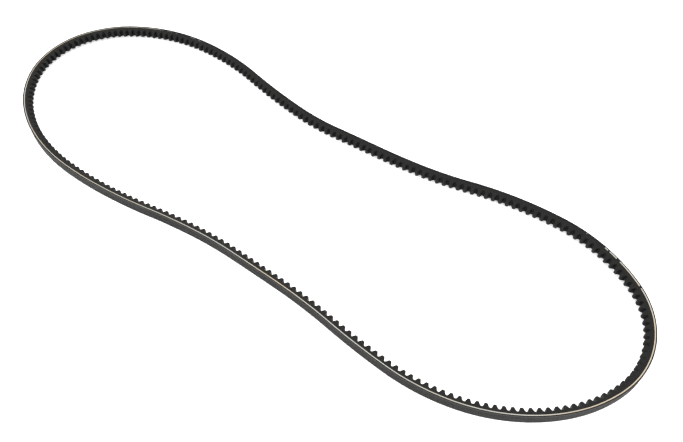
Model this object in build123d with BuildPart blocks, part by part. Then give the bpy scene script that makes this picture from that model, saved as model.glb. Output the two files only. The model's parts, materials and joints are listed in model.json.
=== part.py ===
"""Raw-edge cogged V-belt, lying on one flank as a slack, waisted loop.

The belt is a laminate.  From the back inwards it is bias-woven back fabric, overcord rubber,
cushion rubber that holds the tensile cords, and compression rubber moulded into cogs.
The loop bends at eight upright hinge lines.  Each stands on the cord line, at the middle of
the valley between two cogs, where a belt is thinnest.  The two stretches that meet there end
in a round nose and a matching socket about the hinge line, so they turn without a gap.
"""
import os
from math import atan2, cos, degrees, hypot, pi, radians, sin, sqrt, tan

from build123d import *

os.makedirs("parts", exist_ok=True)

# ---------------------------------------------------------------- section of the belt (mm, deg)
top_width = 13.0            # across the back
belt_height = 10.0          # from the back to the tips of the cogs
wedge_angle = 40.0          # between the two flanks
fabric_thickness = 0.8      # back fabric, whose edges are cut square to the back
overcord_thickness = 0.4
cord_cover = 0.1            # cushion rubber between the overcord rubber and the cords
cord_diameter = 1.0
cord_pitch = 1.33           # from one turn of the cord to the next, across the belt
cushion_under_cord = 0.6
cord_helix_start = 0.36     # part of a pitch that the cord stands above the lower edge at near_left
least_cord_left = 0.35      # of a diameter: a turn trimmed to less than this has been ground away

# ---------------------------------------------------------------- cogs
outside_length = 1850.0     # round the back of the belt
cog_count = 228
notch_depth = 4.4
cog_tip_width = 2.6         # between the sides of a cog, at its tip
cog_root_width = 6.0        # and at the floor of the valley
cog_tip_radius = 1.0
valley_radius = 0.8

# ---------------------------------------------------------------- hinge lines
hinge_clearance = 0.08      # between a nose and its socket
nose_on_floor = 0.9         # part of half the valley floor that a nose takes up
seam_gap = 0.1              # where the chain of stretches is open

# The lying loop, as points of the cord line with the direction of the belt there.  x and y are
# from the centre of the waist, at the catalogue length, and the belt runs anticlockwise.
# A hinge on the far side stands point for point opposite one on the near side.
near_hinges = {
    "near_left": (-162.0, -116.5),
    "near_waist": (-50.5, -103.5),
    "near_right": (62.0, -104.5),
    "right_end": (391.5, -16.5),
}
opposite = {
    "far_right": "near_left",
    "far_waist": "near_waist",
    "far_left": "near_right",
    "left_end": "right_end",
}
hinge_heading = {
    "near_left": 4.0,
    "near_waist": 4.5,
    "near_right": -2.5,
    "right_end": 68.0,
    "far_right": 193.5,
    "far_waist": 181.5,
    "far_left": 171.5,
    "left_end": 267.5,
}
# Stretches from hinge to hinge: the hinge that each starts at, its share of the cogs, and the
# points (x, y, heading) that shape it on the way.
stretch_plan = [
    ("near_span_left", "near_left", 14, []),
    ("near_span_right", "near_waist", 14, []),
    ("right_lobe_near", "near_right", 46, [(201.5, -119.5, -4.0), (325.0, -91.5, 31.0)]),
    ("right_lobe_far", "right_end", 41, [(360.0, 94.5, 144.0)]),
    ("far_span_right", "far_right", 14, []),
    ("far_span_left", "far_waist", 14, []),
    ("left_lobe_far", "far_left", 48, [(-233.0, 132.0, 181.0), (-341.0, 100.0, 213.5)]),
    ("left_lobe_near", "left_end", 37, [(-338.0, -80.5, 325.0), (-233.0, -116.5, 355.5)]),
]
seam_stretch = "left_lobe_far"      # the stretch that is made in two pieces
seam_share = 0.5                    # how far along it the seam stands, at the nearest valley

# ---------------------------------------------------------------- sizes that follow
flank_slope = tan(radians(wedge_angle / 2))
overcord_top = fabric_thickness
cushion_top = overcord_top + overcord_thickness
cord_depth = cushion_top + cord_cover + cord_diameter / 2
compression_top = cord_depth + cord_diameter / 2 + cushion_under_cord
valley_depth = belt_height - notch_depth
cord_length = outside_length - 2 * pi * cord_depth
planned_cogs = sum(cogs for _, _, cogs, _ in stretch_plan)
cog_pitch = cord_length / cog_count
valley_floor = cog_pitch - cog_root_width
root_below_cord = valley_depth - cord_depth
nose_radius = hypot(root_below_cord, nose_on_floor * valley_floor / 2)
socket_radius = nose_radius + hinge_clearance
cord_reach = sqrt(nose_radius ** 2 - cord_diameter ** 2 / 4)    # of a square-ended cord, in a nose
cutter_height = 2 * top_width


# ---------------------------------------------------------------- the cord line as tangent arcs
class Arc:
    """A circular piece of the cord line: start, heading and turn (radians), and length."""

    def __init__(self, x, y, heading, turn, length):
        self.x, self.y = x, y
        self.heading, self.turn, self.length = heading, turn, length

    def point(self, run):
        """Place and heading at a distance run along the arc."""
        part = self.turn * run / self.length
        chord = run if abs(part) < 1e-9 else run * sin(part / 2) / (part / 2)
        along = self.heading + part / 2
        return self.x + chord * cos(along), self.y + chord * sin(along), self.heading + part

    def piece(self, start, end):
        """The part of the arc from start to end."""
        x, y, heading = self.point(start)
        return Arc(x, y, heading, self.turn * (end - start) / self.length, end - start)

    def moved(self, dx, dy, scale):
        return Arc((self.x + dx) * scale, (self.y + dy) * scale, self.heading, self.turn, self.length * scale)

    def section_plane(self):
        """Upright plane across the belt at the start: local x runs inwards, local y upwards."""
        inward = (-sin(self.heading), cos(self.heading), 0)
        return Plane((self.x, self.y, 0), x_dir=inward, z_dir=(cos(self.heading), sin(self.heading), 0))

    def axis(self):
        """Upright axis that the arc turns about, pointing so that the turn is positive."""
        radius = self.length / self.turn
        centre = (self.x - radius * sin(self.heading), self.y + radius * cos(self.heading), 0)
        return Axis(centre, (0, 0, 1 if self.turn > 0 else -1))


def arc_to(x, y, heading, end_x, end_y):
    """The arc that leaves (x, y) along heading and reaches the end point."""
    chord = hypot(end_x - x, end_y - y)
    turn = 2 * (atan2(end_y - y, end_x - x) - heading)
    turn = (turn + 2 * pi) % (4 * pi) - 2 * pi
    length = chord if abs(turn) < 1e-9 else chord * (turn / 2) / sin(turn / 2)
    return Arc(x, y, heading, turn, length)


def two_arcs(start, end):
    """Two tangent arcs between two points with their headings."""
    (x0, y0, h0), (x1, y1, h1) = start, end
    dx, dy = x1 - x0, y1 - y0
    along = dx * (cos(h0) + cos(h1)) + dy * (sin(h0) + sin(h1))
    bend = 2 * (1 - cos(h1 - h0))
    reach_squared = dx * dx + dy * dy
    if bend < 1e-9:
        reach = reach_squared / (2 * along)
    else:
        reach = (sqrt(along * along + bend * reach_squared) - along) / bend
    mid_x = (x0 + x1 + reach * (cos(h0) - cos(h1))) / 2
    mid_y = (y0 + y1 + reach * (sin(h0) - sin(h1))) / 2
    first = arc_to(x0, y0, h0, mid_x, mid_y)
    second = arc_to(mid_x, mid_y, h0 + first.turn, x1, y1)
    return [first, second]


def hinge_point(name):
    """Planned place and heading of a hinge line."""
    if name in near_hinges:
        x, y = near_hinges[name]
    else:
        x, y = (-value for value in near_hinges[opposite[name]])
    return x, y, radians(hinge_heading[name])


# Arcs of each stretch, as planned, then scaled to the cord length and centred on their box.
planned = []
for index, (_, hinge, _, shape_points) in enumerate(stretch_plan):
    next_hinge = stretch_plan[(index + 1) % len(stretch_plan)][1]
    stops = [hinge_point(hinge)]
    stops += [(x, y, radians(heading)) for x, y, heading in shape_points]
    stops += [hinge_point(next_hinge)]
    planned.append([arc for pair in zip(stops, stops[1:]) for arc in two_arcs(*pair)])

lay_scale = cord_length / sum(arc.length for arcs in planned for arc in arcs)
sampled = [arc.point(arc.length * step / 64)[:2] for arcs in planned for arc in arcs for step in range(64)]
shift_x = -(max(x for x, _ in sampled) + min(x for x, _ in sampled)) / 2
shift_y = -(max(y for _, y in sampled) + min(y for _, y in sampled)) / 2
loop = [[arc.moved(shift_x, shift_y, lay_scale) for arc in arcs] for arcs in planned]

# Whole cogs in each stretch, so that every hinge line stands at the middle of a valley.
cogs_before = [sum(cogs for _, _, cogs, _ in stretch_plan[:index]) for index in range(len(stretch_plan) + 1)]
valley_number = [round(count * cog_count / planned_cogs) for count in cogs_before]


def along(arcs, start, end):
    """The arcs between two distances along a list of arcs."""
    pieces, passed = [], 0.0
    for arc in arcs:
        low, high = max(start - passed, 0.0), min(end - passed, arc.length)
        if high - low > 1e-6:
            pieces.append(arc.piece(low, high))
        passed += arc.length
    return pieces


def point_along(arcs, run):
    """Place and heading at a distance along a list of arcs; just outside it the end arc runs on."""
    for arc in arcs[:-1]:
        if run <= arc.length:
            return arc.point(run)
        run -= arc.length
    return arcs[-1].point(run)


class Piece:
    """One stretch of belt between two hinge lines, or between a hinge line and the seam."""

    def __init__(self, name, index, first_valley, last_valley):
        arcs = loop[index]
        pitch = sum(arc.length for arc in arcs) / (valley_number[index + 1] - valley_number[index])
        cogs_here = valley_number[index + 1] - valley_number[index]
        self.name = name
        self.starts_at_hinge = first_valley == 0
        self.ends_at_hinge = last_valley == cogs_here
        start = first_valley * pitch + (0 if self.starts_at_hinge else seam_gap / 2)
        end = last_valley * pitch - (0 if self.ends_at_hinge else seam_gap / 2)
        self.arcs = along(arcs, start, end)
        self.cord_arcs = along(arcs, start + (socket_radius if self.starts_at_hinge else 0), end)
        if self.ends_at_hinge:
            self.arcs += along(loop[(index + 1) % len(loop)], 0, nose_radius)
            self.cord_arcs += along(loop[(index + 1) % len(loop)], 0, cord_reach)
        self.valleys = [point_along(arcs, number * pitch) for number in range(first_valley, last_valley + 1)]
        middle_valley = valley_number[index] + (first_valley + last_valley) / 2
        self.cord_rise = (cord_helix_start + middle_valley / cog_count) % 1 * cord_pitch


pieces = []
for index, (name, _, _, _) in enumerate(stretch_plan):
    cogs_here = valley_number[index + 1] - valley_number[index]
    if name == seam_stretch:
        seam_valley = round(cogs_here * seam_share)
        pieces.append(Piece(name + "_a", index, 0, seam_valley))
        pieces.append(Piece(name + "_b", index, seam_valley, cogs_here))
    else:
        pieces.append(Piece(name, index, 0, cogs_here))


# ---------------------------------------------------------------- profiles across the belt
def edge_inset(depth):
    """How far each flank stands in from the edge of the back, at a depth below the back."""
    return max(depth - fabric_thickness, 0) * flank_slope


def band(top, bottom, mode=Mode.ADD):
    """Sketch of the belt's section between two depths; local x = 0 is the cord line."""
    outline = [
        (top - cord_depth, edge_inset(top)),
        (bottom - cord_depth, edge_inset(bottom)),
        (bottom - cord_depth, top_width - edge_inset(bottom)),
        (top - cord_depth, top_width - edge_inset(top)),
    ]
    with BuildLine() as edge:
        Polyline(*outline, close=True)
    make_face(edge.line, mode=mode)


def cord_heights(piece):
    """Heights of the turns of the cord that the flanks leave standing."""
    inset = edge_inset(cord_depth)
    ground_away = (0.5 - least_cord_left) * cord_diameter / cos(radians(wedge_angle / 2))
    low, high = inset - ground_away, top_width - inset + ground_away
    turns = range(-1, int(top_width / cord_pitch) + 2)
    heights = [piece.cord_rise + turn * cord_pitch for turn in turns]
    return [height for height in heights if low < height < high]


def round_cords(piece, mode=Mode.ADD):
    with Locations(*[(0, height) for height in cord_heights(piece)]):
        Circle(cord_diameter / 2, mode=mode)


def fabric_profile(piece):
    band(0, overcord_top)


def overcord_profile(piece):
    band(overcord_top, cushion_top)


def cushion_profile(piece):
    band(cushion_top, compression_top)
    round_cords(piece, mode=Mode.SUBTRACT)


def cord_profile(piece):
    round_cords(piece)
    band(cushion_top, compression_top, mode=Mode.INTERSECT)


def compression_profile(piece):
    band(compression_top, belt_height)


# ---------------------------------------------------------------- running a profile, cutting ends
def run_profile(piece, profile, arcs):
    """Carry a profile of the piece along the arcs: a turn about each arc's axis."""
    for arc in arcs:
        with BuildSketch(arc.section_plane()) as section:
            profile(piece)
        if abs(arc.turn) < 1e-6:
            extrude(section.sketch, amount=arc.length)
        else:
            revolve(section.sketch, axis=arc.axis(), revolution_arc=degrees(abs(arc.turn)))


def cut_through(shape):
    """Take an upright prism of a flat sketch out of the part."""
    extrude(shape.sketch, amount=cutter_height, mode=Mode.SUBTRACT)


def cut_ends(piece):
    """Socket about the hinge line at the start, round nose about the one at the end."""
    ground = Plane.XY.offset((top_width - cutter_height) / 2)
    if piece.starts_at_hinge:
        x, y, _ = piece.valleys[0]
        with BuildSketch(ground) as socket:
            with Locations((x, y)):
                Circle(socket_radius)
        cut_through(socket)
    if piece.ends_at_hinge:
        x, y, heading = piece.valleys[-1]
        with BuildSketch(ground) as beyond:
            with Locations(Location((x, y), degrees(heading))):
                Rectangle(2 * belt_height, 4 * belt_height, align=(Align.MIN, Align.CENTER))
                Circle(nose_radius, mode=Mode.SUBTRACT)
        cut_through(beyond)


def cut_valleys(piece):
    ground = Plane.XY.offset((top_width - cutter_height) / 2)
    with BuildSketch(ground) as valleys:
        with Locations(*[Location((x, y), degrees(heading)) for x, y, heading in piece.valleys]):
            add(valley.sketch)
    cut_through(valleys)


# One valley, opening inwards (+y) from its floor; the shoulders above it round off the cogs.
floor_x, mouth_x = valley_floor / 2, (cog_pitch - cog_tip_width) / 2
shoulder_x = mouth_x + cog_tip_radius
root_y, tip_y = root_below_cord, belt_height - cord_depth
above_y = tip_y + cog_tip_radius
with BuildSketch() as valley:
    with BuildLine():
        Polyline(
            (-shoulder_x, above_y),
            (-shoulder_x, tip_y),
            (-mouth_x, tip_y),
            (-floor_x, root_y),
            (floor_x, root_y),
            (mouth_x, tip_y),
            (shoulder_x, tip_y),
            (shoulder_x, above_y),
            close=True,
        )
    make_face()
    fillet(valley.vertices().group_by(Axis.Y)[0], valley_radius)
    at_tips = valley.vertices().filter_by_position(Axis.Y, tip_y - 0.01, tip_y + 0.01)
    fillet(at_tips.sort_by(Axis.X)[1:3], cog_tip_radius)


# ---------------------------------------------------------------- the layers, stretch by stretch
def finish(layer, piece, layer_name):
    layer.part.label = f"{piece.name}_{layer_name}"
    export_step(layer.part, f"parts/{layer.part.label}.step")
    print(layer.part.label, len(layer.part.solids()), "solids", round(layer.part.volume), "mm3")


for piece in pieces:
    with BuildPart() as back_fabric:
        run_profile(piece, fabric_profile, piece.arcs)
        cut_ends(piece)
    finish(back_fabric, piece, "back_fabric")

    with BuildPart() as overcord_rubber:
        run_profile(piece, overcord_profile, piece.arcs)
        cut_ends(piece)
    finish(overcord_rubber, piece, "overcord_rubber")

    with BuildPart() as cushion_rubber:
        run_profile(piece, cushion_profile, piece.arcs)
        cut_ends(piece)
    finish(cushion_rubber, piece, "cushion_rubber")

    with BuildPart() as tensile_cords:
        run_profile(piece, cord_profile, piece.cord_arcs)
    finish(tensile_cords, piece, "tensile_cords")

    with BuildPart() as compression_rubber:
        run_profile(piece, compression_profile, piece.arcs)
        cut_valleys(piece)
        cut_ends(piece)
    finish(compression_rubber, piece, "compression_rubber")
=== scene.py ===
"""Raw-edge cogged V-belt, lying on one flank as a slack, waisted loop.

Every layer is made as a straight length first, the way a belt slab is built up before it is
curled: x runs along the belt, y from its back inwards, z across it from the lower edge.  The
length is then laid along the loop.  A length reaches from the middle of one CAD stretch to the
middle of the next, so it crosses a single hinge line and bends smoothly there.
"""

import json
from math import atan2, cos, hypot, pi, radians, sin, sqrt, tan

import bpy
import numpy as np
from mathutils import Matrix, Vector


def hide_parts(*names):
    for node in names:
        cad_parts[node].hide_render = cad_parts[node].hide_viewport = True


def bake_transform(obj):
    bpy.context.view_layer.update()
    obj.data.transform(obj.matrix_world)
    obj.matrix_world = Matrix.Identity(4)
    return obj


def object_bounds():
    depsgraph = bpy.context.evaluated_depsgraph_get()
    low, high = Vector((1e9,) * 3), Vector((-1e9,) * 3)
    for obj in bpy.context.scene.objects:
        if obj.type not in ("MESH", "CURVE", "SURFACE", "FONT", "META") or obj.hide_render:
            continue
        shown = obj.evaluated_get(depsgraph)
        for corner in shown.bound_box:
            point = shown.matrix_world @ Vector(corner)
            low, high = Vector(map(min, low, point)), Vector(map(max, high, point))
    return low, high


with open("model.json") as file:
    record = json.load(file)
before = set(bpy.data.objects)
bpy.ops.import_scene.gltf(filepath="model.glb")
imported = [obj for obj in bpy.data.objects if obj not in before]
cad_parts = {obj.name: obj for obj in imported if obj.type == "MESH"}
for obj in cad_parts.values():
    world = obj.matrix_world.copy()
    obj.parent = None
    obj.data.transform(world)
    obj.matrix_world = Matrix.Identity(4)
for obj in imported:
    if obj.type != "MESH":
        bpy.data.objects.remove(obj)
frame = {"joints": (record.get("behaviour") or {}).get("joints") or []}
cad_box = [list(corner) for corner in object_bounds()]
mm = 0.001

# ---------------------------------------------------------------- camera, as on a low studio table
camera_aim = Vector((66.1, -4.8, 0.0)) * mm
camera_distance = 759.9 * mm
camera_height_angle = radians(52.97)    # above the table
camera_turn = radians(35.28)            # of its heading, from +Y towards -X
camera_roll = radians(-0.655)
lens_length = 37.27                     # on the usual 36 mm sensor


def place_camera():
    data = bpy.data.cameras.new("studio_camera")
    data.lens = lens_length
    camera = bpy.data.objects.new("studio_camera", data)
    bpy.context.scene.collection.objects.link(camera)
    heading = Matrix.Rotation(camera_turn, 4, "Z")
    tilt = Matrix.Rotation(pi / 2 - camera_height_angle, 4, "X")
    roll = Matrix.Rotation(camera_roll, 4, "Z")
    back_off = Matrix.Translation((0, 0, camera_distance))
    camera.matrix_world = Matrix.Translation(camera_aim) @ heading @ tilt @ roll @ back_off
    bpy.context.scene.camera = camera


place_camera()

# ---------------------------------------------------------------- section of the belt
top_width = cad_box[1][2] - cad_box[0][2]
belt_height = 10.0 * mm
flank_slope = tan(radians(40.0) / 2)
fabric_thickness = 0.8 * mm
overcord_thickness = 0.4 * mm
cord_cover = 0.1 * mm       # cushion rubber over the cords
cord_diameter = 1.0 * mm
cord_pitch = 1.33 * mm
cushion_under_cord = 0.6 * mm
overcord_top = fabric_thickness
cushion_top = overcord_top + overcord_thickness
cord_depth = cushion_top + cord_cover + cord_diameter / 2
compression_top = cord_depth + cord_diameter / 2 + cushion_under_cord
fabric_edge_round = 0.12 * mm
cord_turns = 10
cord_sides = 16
cord_start = 0.36           # part of a pitch that the cord stands above the lower edge at near_left
cord_proud = 0.04 * mm      # cut cord ends stand this far out of the ground flank
least_standing = 0.08 * mm  # a turn with less left than this has been ground away
firm_standing = 0.24 * mm   # and one with less than this dips towards the rubber
cord_stray = 0.05 * mm      # how far a turn of the cord wanders across the belt
layer_stray = 0.06 * mm     # and the faces between the layers wander in depth
still_depth = 5 * mm        # below this depth the layers don't wander,
stray_fade = 2 * mm         # and over this much above it they start to
stray_waves = (1.9 * mm, 4.7 * mm, 11.3 * mm)
wrap_rib_pitch = 1.6        # mm, of the faint cross ribs that the curing wrap leaves on the back

# ---------------------------------------------------------------- cogs
notch_depth = 4.4 * mm
cog_tip_width = 2.6 * mm
cog_root_width = 6.0 * mm
cog_tip_radius = 1.0 * mm
valley_radius = 0.8 * mm
burr_bevel = 0.12 * mm      # along the edges that grinding leaves on a cog
round_steps = 3             # facets round a rounded cog edge
weld_distance = 0.001 * mm  # points nearer than this are one point
crease_angle = radians(35)  # faces that meet at less than this are shaded smooth
valley_depth = belt_height - notch_depth

# ---------------------------------------------------------------- the loop, hinge line by hinge line
# Anticlockwise: the hinge line that a stretch starts at, the belt's heading there (degrees), the
# stretch's cogs, and the points (mm from the waist's centre, heading) that shape it on the way.
stretches = [
    ("near_left", 4.0, 14, []),
    ("near_waist", 4.5, 14, []),
    ("near_right", -2.5, 46, [(201.5, -119.5, -4.0), (325.0, -91.5, 31.0)]),
    ("right_end", 68.0, 41, [(360.0, 94.5, 144.0)]),
    ("far_right", 193.5, 14, []),
    ("far_waist", 181.5, 14, []),
    ("far_left", 171.5, 48, [(-233.0, 132.0, 181.0), (-341.0, 100.0, 213.5)]),
    ("left_end", 267.5, 37, [(-338.0, -80.5, 325.0), (-233.0, -116.5, 355.5)]),
]
# The CAD bodies and the hinge lines between them, from one side of the seam round to the other.
body_chain = [
    "left_lobe_far_b", "left_lobe_near", "near_span_left", "near_span_right", "right_lobe_near",
    "right_lobe_far", "far_span_right", "far_span_left", "left_lobe_far_a",
]
hinge_chain = [
    "left_end", "near_left", "near_waist", "near_right",
    "right_end", "far_right", "far_waist", "far_left",
]
seam_share = 0.5            # how far along the stretch from far_left the seam stands
line_step = 0.5 * mm        # between points of the cord line

hinge_place = {
    joint["name"].removesuffix("_bend"): Vector(joint["pos_m"]) for joint in frame["joints"]
}
waist_centre = (hinge_place["near_waist"] + hinge_place["far_waist"]) / 2
cog_count = sum(cogs for _, _, cogs, _ in stretches)


def arc_to(x, y, heading, end_x, end_y):
    """The arc from (x, y) along heading to the end point: its start, heading, turn and length."""
    chord = hypot(end_x - x, end_y - y)
    turn = 2 * (atan2(end_y - y, end_x - x) - heading)
    turn = (turn + 2 * pi) % (4 * pi) - 2 * pi
    return x, y, heading, turn, chord / float(np.sinc(turn / 2 / pi))


def two_arcs(start, end):
    """Two tangent arcs between two points with their headings."""
    (x0, y0, h0), (x1, y1, h1) = start, end
    dx, dy = x1 - x0, y1 - y0
    along = dx * (cos(h0) + cos(h1)) + dy * (sin(h0) + sin(h1))
    bend = 2 * (1 - cos(h1 - h0))
    reach = (sqrt(along * along + bend * (dx * dx + dy * dy)) - along) / bend
    mid_x = (x0 + x1 + reach * (cos(h0) - cos(h1))) / 2
    mid_y = (y0 + y1 + reach * (sin(h0) - sin(h1))) / 2
    first = arc_to(x0, y0, h0, mid_x, mid_y)
    return [first, arc_to(mid_x, mid_y, h0 + first[3], x1, y1)]


def stretch_arcs(index):
    """The arcs of the cord line along one stretch, through its shape points."""
    name, heading, _, shape_points = stretches[index]
    next_name, next_heading, _, _ = stretches[(index + 1) % len(stretches)]
    stops = [(*hinge_place[name].xy, radians(heading))]
    for x, y, shape_heading in shape_points:
        place = waist_centre.xy + Vector((x, y)) * mm
        stops.append((*place, radians(shape_heading)))
    stops.append((*hinge_place[next_name].xy, radians(next_heading)))
    return [arc for pair in zip(stops, stops[1:]) for arc in two_arcs(*pair)]


def cord_line():
    """Twice round the cord line: rows of cog number, x, y and heading, a short step apart."""
    rows, cogs_before = [], 0
    for index, (_, _, cogs, _) in enumerate(stretches):
        arcs = stretch_arcs(index)
        whole = sum(length for *_, length in arcs)
        passed = 0.0
        for x, y, heading, turn, length in arcs:
            run = np.arange(0, length, line_step)
            half_turn = turn * run / length / 2
            chord = run * np.sinc(half_turn / pi)
            rows.append(np.column_stack([
                cogs_before + cogs * (passed + run) / whole,
                x + chord * np.cos(heading + half_turn),
                y + chord * np.sin(heading + half_turn),
                heading + 2 * half_turn,
            ]))
            passed += length
        cogs_before += cogs
    once = np.vstack(rows)
    once[:, 3] = np.unwrap(once[:, 3])
    twice = once + [cog_count, 0, 0, 2 * pi]
    return np.vstack([once, twice])


def line_length():
    return sum(length for index in range(len(stretches)) for *_, length in stretch_arcs(index))


line = cord_line()
cog_pitch = line_length() / cog_count
half_pitch = cog_pitch / 2

# Cog numbers run from near_left; the straight lengths count on from the seam, once round.
hinge_cog, cogs_after = {}, {}
for index, (name, _, cogs, _) in enumerate(stretches):
    hinge_cog[name] = sum(earlier for _, _, earlier, _ in stretches[:index])
    cogs_after[name] = cogs
seam_cog = hinge_cog["far_left"] + round(cogs_after["far_left"] * seam_share)
for name, cog in hinge_cog.items():
    if cog < seam_cog:
        hinge_cog[name] = cog + cog_count
cuts = [seam_cog]
for before, after in zip(hinge_chain, hinge_chain[1:]):
    cuts.append((hinge_cog[before] + hinge_cog[after]) // 2)
cuts.append(seam_cog + cog_count)


# ---------------------------------------------------------------- bench work
def only(piece):
    """Select this piece alone and make it the active one."""
    bpy.ops.object.select_all(action="DESELECT")
    piece.select_set(True)
    bpy.context.view_layer.objects.active = piece


def pick(piece, kind, test):
    """In edit mode, select the edges or the faces whose corner points pass a test."""
    bpy.ops.mesh.select_mode(type=kind)
    bpy.ops.mesh.select_all(action="DESELECT")
    bpy.ops.object.mode_set(mode="OBJECT")
    mesh = piece.data
    for part in mesh.edges if kind == "EDGE" else mesh.polygons:
        part.select = test([mesh.vertices[v].co for v in part.vertices])
    bpy.ops.object.mode_set(mode="EDIT")


def near(a, b):
    return abs(a - b) < weld_distance


def open_ends(piece, length):
    """Take off the two end faces of a unit, so that copies of it join up."""
    pick(piece, "FACE", lambda points: any(all(near(p.x, end) for p in points) for end in (0, length)))
    bpy.ops.mesh.delete(type="FACE")


def slope_flanks(piece):
    """Lean the flanks in: every layer under the fabric narrows with its depth."""
    middle = top_width / 2
    for vertex in piece.data.vertices:
        inset = max(vertex.co.y - fabric_thickness, 0) * flank_slope
        vertex.co.z = middle + (vertex.co.z - middle) * (middle - inset) / middle


def layer_unit(name, top, bottom, edge_round=0.0):
    """Half a pitch of a plain layer, between two depths."""
    bpy.ops.object.select_all(action="DESELECT")
    bpy.ops.mesh.primitive_cube_add(
        size=1,
        location=(half_pitch / 2, (top + bottom) / 2, top_width / 2),
        scale=(half_pitch, bottom - top, top_width),
    )
    unit = bpy.context.object
    unit.name = name
    bpy.ops.object.transform_apply(location=True, scale=True)
    bpy.ops.object.mode_set(mode="EDIT")
    if edge_round:
        pick(unit, "EDGE", lambda points: near(points[0].y, points[1].y) and near(points[0].z, points[1].z))
        bpy.ops.mesh.bevel(offset=edge_round, segments=2, affect="EDGES")
    open_ends(unit, half_pitch)
    bpy.ops.object.mode_set(mode="OBJECT")
    slope_flanks(unit)
    return unit


def cord_unit():
    """Half a pitch of one turn of the cord, before it is raised to its height."""
    bpy.ops.object.select_all(action="DESELECT")
    bpy.ops.mesh.primitive_cylinder_add(
        vertices=cord_sides,
        radius=cord_diameter / 2,
        depth=half_pitch,
        end_fill_type="NOTHING",
        location=(half_pitch / 2, cord_depth, 0),
        rotation=(0, pi / 2, 0),
    )
    unit = bpy.context.object
    unit.name = "cord_unit"
    bpy.ops.object.transform_apply(location=True, rotation=True)
    return unit


def cog_unit():
    """One cog of the compression rubber, from valley to valley."""
    floor_x = (cog_pitch - cog_root_width) / 2
    mouth_x = (cog_pitch - cog_tip_width) / 2
    outline = [
        (0, valley_depth), (floor_x, valley_depth), (mouth_x, belt_height),
        (cog_pitch - mouth_x, belt_height), (cog_pitch - floor_x, valley_depth), (cog_pitch, valley_depth),
    ]
    columns = len(outline) - 1
    bpy.ops.object.select_all(action="DESELECT")
    bpy.ops.mesh.primitive_grid_add(x_subdivisions=columns, y_subdivisions=1, size=1)
    unit = bpy.context.object
    unit.name = "cog_unit"
    for vertex in unit.data.vertices:
        x, depth = outline[round((vertex.co.x + 0.5) * columns)]
        vertex.co = (x, depth if vertex.co.y > 0 else compression_top, 0)
    bpy.ops.object.mode_set(mode="EDIT")
    bpy.ops.mesh.select_all(action="SELECT")
    bpy.ops.mesh.extrude_region_move(TRANSFORM_OT_translate={"value": (0, 0, top_width)})
    bpy.ops.mesh.select_all(action="SELECT")
    bpy.ops.mesh.normals_make_consistent(inside=False)
    open_ends(unit, cog_pitch)
    side_lean = atan2((cog_root_width - cog_tip_width) / 2, notch_depth)
    corner = (pi / 2 - side_lean) / 2
    for depth, radius in ((belt_height, cog_tip_radius), (valley_depth, valley_radius)):
        pick(unit, "EDGE", lambda points: near(points[0].x, points[1].x) and all(
            near(p.y, depth) and not near(p.x, 0) and not near(p.x, cog_pitch) for p in points))
        bpy.ops.mesh.bevel(offset=radius * tan(corner), segments=round_steps, affect="EDGES")
    bpy.ops.object.mode_set(mode="OBJECT")
    slope_flanks(unit)

    def on_burr(points):
        if any(near(p.y, compression_top) for p in points):
            return False
        insets = [(p.y - fabric_thickness) * flank_slope for p in points]
        low = all(near(p.z, inset) for p, inset in zip(points, insets))
        high = all(near(p.z, top_width - inset) for p, inset in zip(points, insets))
        return low or high

    bpy.ops.object.mode_set(mode="EDIT")
    pick(unit, "EDGE", on_burr)
    bpy.ops.mesh.bevel(offset=burr_bevel, segments=1, affect="EDGES")
    bpy.ops.object.mode_set(mode="OBJECT")
    return unit


def repeat(piece, count, unit_length):
    """Copy a unit on and on along the belt, welding each copy to the one before."""
    array = piece.modifiers.new("repeat", "ARRAY")
    array.count = count
    array.use_relative_offset = False
    array.use_constant_offset = True
    array.constant_offset_displace = (unit_length, 0, 0)
    array.use_merge_vertices = True
    array.merge_threshold = weld_distance
    bpy.ops.object.modifier_apply(modifier=array.name)


def straight_length(unit, unit_length, name, first_cog, last_cog):
    """A closed straight length of a layer, from one valley to another."""
    length = unit.copy()
    length.data = unit.data.copy()
    length.name = name
    bpy.context.scene.collection.objects.link(length)
    only(length)
    repeat(length, round((last_cog - first_cog) * cog_pitch / unit_length), unit_length)
    length.location.x = (first_cog - seam_cog) * cog_pitch
    bpy.ops.object.transform_apply(location=True)
    bpy.ops.object.mode_set(mode="EDIT")
    bpy.ops.mesh.select_all(action="SELECT")
    bpy.ops.mesh.fill_holes(sides=0)
    bpy.ops.mesh.select_all(action="SELECT")
    bpy.ops.mesh.normals_make_consistent(inside=False)
    bpy.ops.object.mode_set(mode="OBJECT")
    return length


def stray(x):
    """A slow wander along the belt, between -1 and 1, that never repeats."""
    return sum(np.sin(x / wave + start) for start, wave in enumerate(stray_waves)) / len(stray_waves)


def cord_height(cog, turn):
    """Height of a turn of the cord, which climbs one pitch each time round the belt."""
    return (cord_start + cog / cog_count - 1 + turn) * cord_pitch


def left_standing(height):
    """How much of a turn's diameter the two flanks leave standing."""
    inset = (cord_depth - fabric_thickness) * flank_slope
    room = np.minimum(height - inset, top_width - inset - height)
    return cord_diameter / 2 + room / sqrt(1 + flank_slope ** 2)


def wind_turn(length, turn):
    """Raise one turn to its climbing height, and grind it flat where it stands out of a flank."""
    places = np.empty(len(length.data.vertices) * 3)
    length.data.vertices.foreach_get("co", places)
    places = places.reshape(-1, 3)
    height = cord_height(seam_cog + places[:, 0] / cog_pitch, turn) + cord_stray * stray(places[:, 0])
    places[:, 2] += height
    proud = np.interp(left_standing(height), (least_standing, firm_standing), (-cord_proud, cord_proud))
    for edge_height, side in ((0, -1), (top_width, 1)):
        outward = Vector((0, flank_slope, side)).normalized()
        reach = (places[:, 1] - fabric_thickness) * outward.y + (places[:, 2] - edge_height) * outward.z
        places[:, 2] -= np.maximum(reach - proud, 0) / outward.z
    length.data.vertices.foreach_set("co", places.ravel())
    length.data.update()


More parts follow.
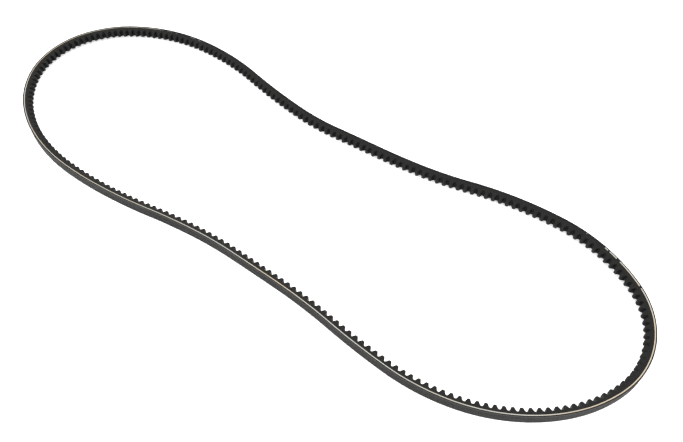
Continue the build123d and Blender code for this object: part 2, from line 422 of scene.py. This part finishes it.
def wind_cords(unit, name, first_cog, last_cog):
    """All the turns of the cord that the flanks leave in one length, joined into one piece."""
    half_cogs = np.arange(2 * first_cog, 2 * last_cog + 1) / 2
    turns = []
    for turn in range(cord_turns):
        kept = half_cogs[left_standing(cord_height(half_cogs, turn)) > least_standing]
        if len(kept) > 1:
            length = straight_length(unit, half_pitch, name, kept[0], kept[-1])
            wind_turn(length, turn)
            turns.append(length)
    only(turns[0])
    for length in turns:
        length.select_set(True)
    bpy.ops.object.join()
    turns[0].name = name
    return turns[0]


def lay_along_loop(length):
    """Curl a straight length up along the loop.  Its straight coordinates stay with it as the
    attribute that the finishes read."""
    mesh = length.data
    places = np.empty(len(mesh.vertices) * 3)
    mesh.vertices.foreach_get("co", places)
    straight = mesh.attributes.new("straight", "FLOAT_VECTOR", "POINT")
    straight.data.foreach_set("vector", places.astype(np.float32))
    places = places.reshape(-1, 3)
    depth = places[:, 1]
    loose = np.clip(depth / overcord_top, 0, 1) * np.clip((still_depth - depth) / stray_fade, 0, 1)
    places[:, 1] += layer_stray * loose * stray(places[:, 0])
    cogs = seam_cog + places[:, 0] / cog_pitch
    x, y, heading = (np.interp(cogs, line[:, 0], line[:, column]) for column in (1, 2, 3))
    inward = places[:, 1] - cord_depth
    places[:, 0] = x - inward * np.sin(heading)
    places[:, 1] = y + inward * np.cos(heading)
    mesh.vertices.foreach_set("co", places.ravel())
    mesh.update()
    only(length)
    bpy.ops.object.shade_smooth_by_angle(angle=crease_angle)


# ---------------------------------------------------------------- finishes
def add_node(tree, kind, inputs=None, **settings):
    """A shader node with its settings, and its sockets set or linked."""
    made = tree.nodes.new("ShaderNode" + kind)
    for setting, value in settings.items():
        setattr(made, setting, value)
    for socket, value in (inputs or {}).items():
        if isinstance(value, bpy.types.NodeSocket):
            tree.links.new(value, made.inputs[socket])
        else:
            made.inputs[socket].default_value = value
    return made


def math_node(tree, operation, *values):
    return add_node(tree, "Math", dict(enumerate(values)), operation=operation).outputs[0]


def grade(tree, value, *stops):
    """Turn a value into a colour by stops of (position, colour)."""
    ramp = add_node(tree, "ValToRGB", {"Fac": value})
    elements = ramp.color_ramp.elements
    while len(elements) < len(stops):
        elements.new(1.0)
    for element, (position, colour) in zip(elements, stops):
        element.position = position
        element.color = (*colour, 1.0)
    return ramp.outputs["Color"]


def blend_colours(tree, share, first, second, blend_type="MIX"):
    mix = add_node(tree, "Mix", data_type="RGBA", blend_type=blend_type)
    for socket, value in zip((mix.inputs[0], mix.inputs[6], mix.inputs[7]), (share, first, second)):
        if isinstance(value, bpy.types.NodeSocket):
            tree.links.new(value, socket)
        else:
            socket.default_value = value
    return mix.outputs[2]


def noise(tree, place, scale, stretch=(1, 1, 1), detail=3.0, roughness=0.55):
    """Noise over millimetres, stretched by scaling down the directions that it runs along."""
    mapped = add_node(tree, "Mapping", {"Vector": place, "Scale": stretch})
    return add_node(tree, "TexNoise", {
        "Vector": mapped.outputs[0], "Scale": scale, "Detail": detail, "Roughness": roughness,
    }).outputs["Fac"]


def start_finish(name, roughness, specular):
    """A new material: its node tree, its shader, and the straight belt's coordinates in mm."""
    finish = bpy.data.materials.new(name)
    finish.use_nodes = True
    tree = finish.node_tree
    shader = tree.nodes["Principled BSDF"]
    shader.inputs["Roughness"].default_value = roughness
    shader.inputs["Specular IOR Level"].default_value = specular
    straight = add_node(tree, "Attribute", attribute_name="straight")
    place = add_node(tree, "VectorMath", {0: straight.outputs["Vector"], "Scale": 1000.0}, operation="SCALE")
    return finish, tree, shader, place.outputs[0]


def set_bump(tree, shader, height, depth_mm, strength=1.0):
    bump = add_node(tree, "Bump", {"Height": height, "Distance": depth_mm * mm, "Strength": strength})
    tree.links.new(bump.outputs[0], shader.inputs["Normal"])


def vary_roughness(tree, shader, value, low, high):
    mapped = add_node(tree, "MapRange", {"Value": value, "To Min": low, "To Max": high})
    tree.links.new(mapped.outputs[0], shader.inputs["Roughness"])


def flank_share(tree):
    """One where a face looks up or down, out of a flank, and nothing on the back and the cogs."""
    facing = add_node(tree, "SeparateXYZ", {0: add_node(tree, "NewGeometry").outputs["Normal"]}).outputs["Z"]
    return grade(tree, math_node(tree, "ABSOLUTE", facing), (0.6, (0, 0, 0)), (0.85, (1, 1, 1)))


def bias_fabric():
    """Rubberised back fabric: plain weave laid on the bias, its yarns crossing at a wide angle."""
    yarn_pitch, yarn_angle = 0.62, radians(33)      # mm, and the lean of each yarn from across
    light_edge, full_edge = 1.6, 0.4                # mm below the upper edge: the strip of painted sheen, partly rubbed wear
    finish, tree, shader, place = start_finish("bias_fabric", 0.8, 0.12)
    parts = add_node(tree, "SeparateXYZ", {0: place})
    across = math_node(tree, "ADD", parts.outputs["Z"], parts.outputs["Y"])
    runs = []
    for sense in (1, -1):
        along_part = math_node(tree, "MULTIPLY", parts.outputs["X"], sin(yarn_angle) / yarn_pitch)
        across_part = math_node(tree, "MULTIPLY", across, sense * cos(yarn_angle) / yarn_pitch)
        runs.append(math_node(tree, "ADD", along_part, across_part))
    crowns = []
    for run in runs:
        half_turns = math_node(tree, "MULTIPLY", run, pi)
        crowns.append(math_node(tree, "ABSOLUTE", math_node(tree, "SINE", half_turns)))
    cells = add_node(tree, "CombineXYZ", {0: runs[0], 1: runs[1], 2: 0.5})
    over = add_node(tree, "TexChecker", {
        "Vector": cells.outputs[0], "Scale": 1.0, "Color1": (1, 1, 1, 1), "Color2": (0, 0, 0, 1),
    }).outputs["Fac"]
    crown = add_node(tree, "Mix", {0: over, 2: crowns[0], 3: crowns[1]}, data_type="FLOAT").outputs[0]
    fuzz = noise(tree, place, 3.5, detail=5.0)
    dust = noise(tree, place, 0.08, stretch=(0.35, 1, 1), detail=4.0)
    ribs = math_node(tree, "SINE", math_node(tree, "MULTIPLY", parts.outputs["X"], 2 * pi / wrap_rib_pitch))
    relief = math_node(tree, "ADD", crown, math_node(tree, "MULTIPLY", fuzz, 0.6))
    relief = math_node(tree, "ADD", relief, math_node(tree, "MULTIPLY", ribs, 0.5))
    yarns = grade(tree, crown, (0.1, (0.004, 0.004, 0.004)), (0.95, (0.018, 0.018, 0.017)))
    rubbed = grade(tree, dust, (0.35, (0.74, 0.74, 0.75)), (0.65, (1.0, 1.0, 0.98)))
    coloured = blend_colours(tree, 1.0, yarns, rubbed, "MULTIPLY")
    flecks = grade(tree, fuzz, (0.62, (0, 0, 0)), (0.80, (0.025, 0.025, 0.024)))
    coloured = blend_colours(tree, 1.0, coloured, flecks, "ADD")
    streaks = noise(tree, place, 0.55, stretch=(0.02, 1, 1), detail=3.0)
    streaked = grade(tree, streaks, (0.36, (0.55, 0.55, 0.55)), (0.64, (1.45, 1.45, 1.43)))
    coloured = blend_colours(tree, 1.0, coloured, streaked, "MULTIPLY")
    # painted shade: the back is darkened towards its lower edge, next to the floor, where shade falls
    painted_low_shade = grade(tree, math_node(tree, "MULTIPLY", parts.outputs["Z"], mm / top_width),
                   (0.0, (0.45, 0.45, 0.45)), (0.4, (1, 1, 1)))
    coloured = blend_colours(tree, 1.0, coloured, painted_low_shade, "MULTIPLY")
    # painted highlight: the upper edge, which faces the lamps, is lightened as a sheen, partly also as rubbed
    # wear
    sheen_and_rub_edge = add_node(tree, "MapRange", {
        "Value": parts.outputs["Z"], "To Max": 0.7,
        "From Min": top_width / mm - light_edge, "From Max": top_width / mm - full_edge,
    }).outputs[0]
    coloured = blend_colours(tree, sheen_and_rub_edge, coloured, (0.060, 0.060, 0.058, 1))
    threads = noise(tree, place, 1.0, stretch=(3.0, 3.0, 3.0), detail=4.0)
    cut_yarns = grade(tree, threads, (0.38, (0.005, 0.005, 0.005)), (0.68, (0.030, 0.030, 0.028)))
    coloured = blend_colours(tree, flank_share(tree), coloured, cut_yarns)
    tree.links.new(coloured, shader.inputs["Base Color"])
    vary_roughness(tree, shader, crown, 0.8, 0.55)
    set_bump(tree, shader, relief, 0.06)
    return finish


def ground_rubber(name, tone, fibre_tone):
    """Rubber whose edge was ground: fine scores along the belt, and cut fibre ends."""
    finish, tree, shader, place = start_finish(name, 0.7, 0.05)
    scores = noise(tree, place, 1.0, stretch=(0.12, 5, 5), detail=4.0)
    fibres = noise(tree, place, 1.0, stretch=(2.6, 6, 6), detail=2.0)
    patches = noise(tree, place, 0.12, stretch=(0.4, 1, 1))
    base = grade(tree, scores, (0.3, (tone * 0.75,) * 3), (0.7, (tone * 1.3,) * 3))
    shade = grade(tree, patches, (0.3, (0.8, 0.8, 0.8)), (0.7, (1.2, 1.2, 1.2)))
    toned = blend_colours(tree, 1.0, base, shade, "MULTIPLY")
    specks = grade(tree, fibres, (0.66, (0, 0, 0)), (0.78, (fibre_tone,) * 3))
    tree.links.new(blend_colours(tree, 1.0, toned, specks, "ADD"), shader.inputs["Base Color"])
    vary_roughness(tree, shader, patches, 0.62, 0.8)
    set_bump(tree, shader, scores, 0.03)
    return finish


def cut_cord():
    """Pale polyester cord: its twisted strands laid open by the grinding, with dark gaps between."""
    twist_along, twist_across = 2.2, 3.4    # radians of the strands' twist to a millimetre
    finish, tree, shader, place = start_finish("polyester_cord", 0.55, 0.5)
    parts = add_node(tree, "SeparateXYZ", {0: place})
    twist = math_node(tree, "ADD", math_node(tree, "MULTIPLY", parts.outputs["X"], twist_along),
                      math_node(tree, "MULTIPLY", parts.outputs["Z"], twist_across))
    strands = math_node(tree, "ABSOLUTE", math_node(tree, "SINE", twist))
    filaments = noise(tree, place, 1.0, stretch=(0.8, 14, 14), detail=3.0)
    smears = noise(tree, place, 0.25, stretch=(0.5, 2, 2), detail=4.0)
    yarn = grade(tree, filaments, (0.3, (0.22, 0.20, 0.17)), (0.7, (0.50, 0.47, 0.42)))
    ageing = noise(tree, place, 0.008, detail=2.0)
    aged = grade(tree, ageing, (0.42, (0.92, 0.97, 1.0)), (0.58, (1.0, 0.90, 0.76)))
    yarn = blend_colours(tree, 1.0, yarn, aged, "MULTIPLY")
    gaps = grade(tree, strands, (0.02, (0.45, 0.42, 0.38)), (0.3, (1, 1, 1)))
    yarn = blend_colours(tree, 1.0, yarn, gaps, "MULTIPLY")
    dirt = grade(tree, smears, (0.64, (0, 0, 0)), (0.84, (0.45, 0.45, 0.45)))
    tree.links.new(blend_colours(tree, dirt, yarn, (0.10, 0.085, 0.07, 1)), shader.inputs["Base Color"])
    vary_roughness(tree, shader, filaments, 0.5, 0.75)
    set_bump(tree, shader, math_node(tree, "ADD", filaments, strands), 0.05)
    return finish


def cog_rubber():
    """Compression rubber: moulded cogs, lightened towards the tips by a painted highlight mixed with bloom,
    so darker in the valleys as painted shade, and ground grey on the flanks.
    """
    tip_light_depth = 1.6         # mm below a cog's tip over which the painted highlight and rubbed bloom fade in
    finish, tree, shader, place = start_finish("cog_rubber", 0.6, 0.1)
    depth = add_node(tree, "SeparateXYZ", {0: place}).outputs["Y"]
    flank = flank_share(tree)
    grain = noise(tree, place, 2.2, detail=6.0, roughness=0.65)
    bloom = noise(tree, place, 0.16, detail=3.0)
    scores = noise(tree, place, 1.0, stretch=(0.15, 5, 5), detail=4.0)
    fibres = noise(tree, place, 1.0, stretch=(2.6, 7, 7), detail=2.0)
    # painted highlight: lighter towards the cog tips, through the bloom noise, partly also rubbed wear; the
    # valleys stay dark as painted shade
    tip_light_and_rub = add_node(tree, "MapRange", {
        "Value": depth, "From Min": belt_height / mm - tip_light_depth, "From Max": belt_height / mm,
    }).outputs[0]
    moulded = grade(tree, grain, (0.35, (0.0010, 0.0012, 0.0013)), (0.75, (0.0035, 0.0040, 0.0042)))
    moulded = blend_colours(tree, math_node(tree, "MULTIPLY", tip_light_and_rub, bloom), moulded, (0.011, 0.012, 0.012, 1))
    ground = grade(tree, scores, (0.3, (0.0062, 0.0064, 0.0061)), (0.7, (0.0165, 0.0163, 0.0150)))
    specks = grade(tree, fibres, (0.66, (0, 0, 0)), (0.80, (0.03, 0.03, 0.028)))
    ground = blend_colours(tree, 1.0, ground, specks, "ADD")
    tree.links.new(blend_colours(tree, flank, moulded, ground), shader.inputs["Base Color"])
    vary_roughness(tree, shader, bloom, 0.5, 0.75)
    sheen = add_node(tree, "MapRange", {"Value": flank, "To Min": 0.12, "To Max": 0.04}).outputs[0]
    tree.links.new(sheen, shader.inputs["Specular IOR Level"])
    relief = blend_colours(tree, flank, grain, scores)
    set_bump(tree, shader, relief, 0.04)
    return finish


# ---------------------------------------------------------------- the belt, layer by layer
layers = [
    # CAD layer, its straight unit, the unit's length, its finish
    ("back_fabric", layer_unit("fabric_unit", 0, overcord_top, fabric_edge_round), half_pitch, bias_fabric()),
    ("overcord_rubber", layer_unit("overcord_unit", overcord_top, cushion_top), half_pitch,
     ground_rubber("overcord_rubber", 0.003, 0.008)),
    ("cushion_rubber", layer_unit("cushion_unit", cushion_top, compression_top), half_pitch,
     ground_rubber("cushion_rubber", 0.0095, 0.02)),
    ("tensile_cords", cord_unit(), half_pitch, cut_cord()),
    ("compression_rubber", cog_unit(), cog_pitch, cog_rubber()),
]

for number, hinge in enumerate(hinge_chain):
    first_cog, last_cog = cuts[number], cuts[number + 1]
    body_before, body_after = body_chain[number], body_chain[number + 1]
    for layer, unit, unit_length, finish in layers:
        name = f"{layer}_at_{hinge}"
        if layer == "tensile_cords":
            piece = wind_cords(unit, name, first_cog, last_cog)
        else:
            piece = straight_length(unit, unit_length, name, first_cog, last_cog)
        lay_along_loop(piece)
        piece.data.materials.clear()
        piece.data.materials.append(finish)
        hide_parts(f"{body_before}_{layer}", f"{body_after}_{layer}")
        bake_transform(piece)
for _, unit, _, _ in layers:
    bpy.data.objects.remove(unit)


# ---------------------------------------------------------------- studio
def studio_floor():
    bpy.ops.object.select_all(action="DESELECT")
    bpy.ops.mesh.primitive_plane_add(size=12, location=(0, 0, -0.2 * mm))
    floor = bpy.context.object
    floor.name = "studio_floor"
    finish = bpy.data.materials.new("pale_floor")
    finish.use_nodes = True
    shader = finish.node_tree.nodes["Principled BSDF"]
    shader.inputs["Base Color"].default_value = (0.93, 0.93, 0.93, 1)
    shader.inputs["Roughness"].default_value = 0.9
    shader.inputs["Specular IOR Level"].default_value = 0.1
    shader.inputs["Emission Color"].default_value = (1, 1, 1, 1)
    shader.inputs["Emission Strength"].default_value = 0.35
    floor.data.materials.append(finish)


def soft_box(name, place, width, depth, power):
    """A soft box that faces the middle of the belt."""
    data = bpy.data.lights.new(name, "AREA")
    data.shape = "RECTANGLE"
    data.size, data.size_y = width, depth
    data.energy = power
    light = bpy.data.objects.new(name, data)
    bpy.context.scene.collection.objects.link(light)
    light.location = place
    light.rotation_euler = (-Vector(place)).to_track_quat("-Z", "Y").to_euler()


def room_light(strength):
    world = bpy.data.worlds.new("studio_room")
    world.use_nodes = True
    background = world.node_tree.nodes["Background"]
    background.inputs["Color"].default_value = (1, 1, 1, 1)
    background.inputs["Strength"].default_value = strength
    bpy.context.scene.world = world


studio_floor()
# each soft box: where it stands and its width and depth (metres), and its power (watts)
soft_box("overhead_box", (-0.7, 0.8, 1.7), 1.5, 1.1, 22)
soft_box("right_box", (1.7, -0.1, 0.7), 0.9, 0.8, 16)
soft_box("left_box", (-1.2, -1.3, 0.9), 1.0, 0.8, 14)
room_light(1.6)
bpy.context.scene.view_settings.view_transform = "Standard"
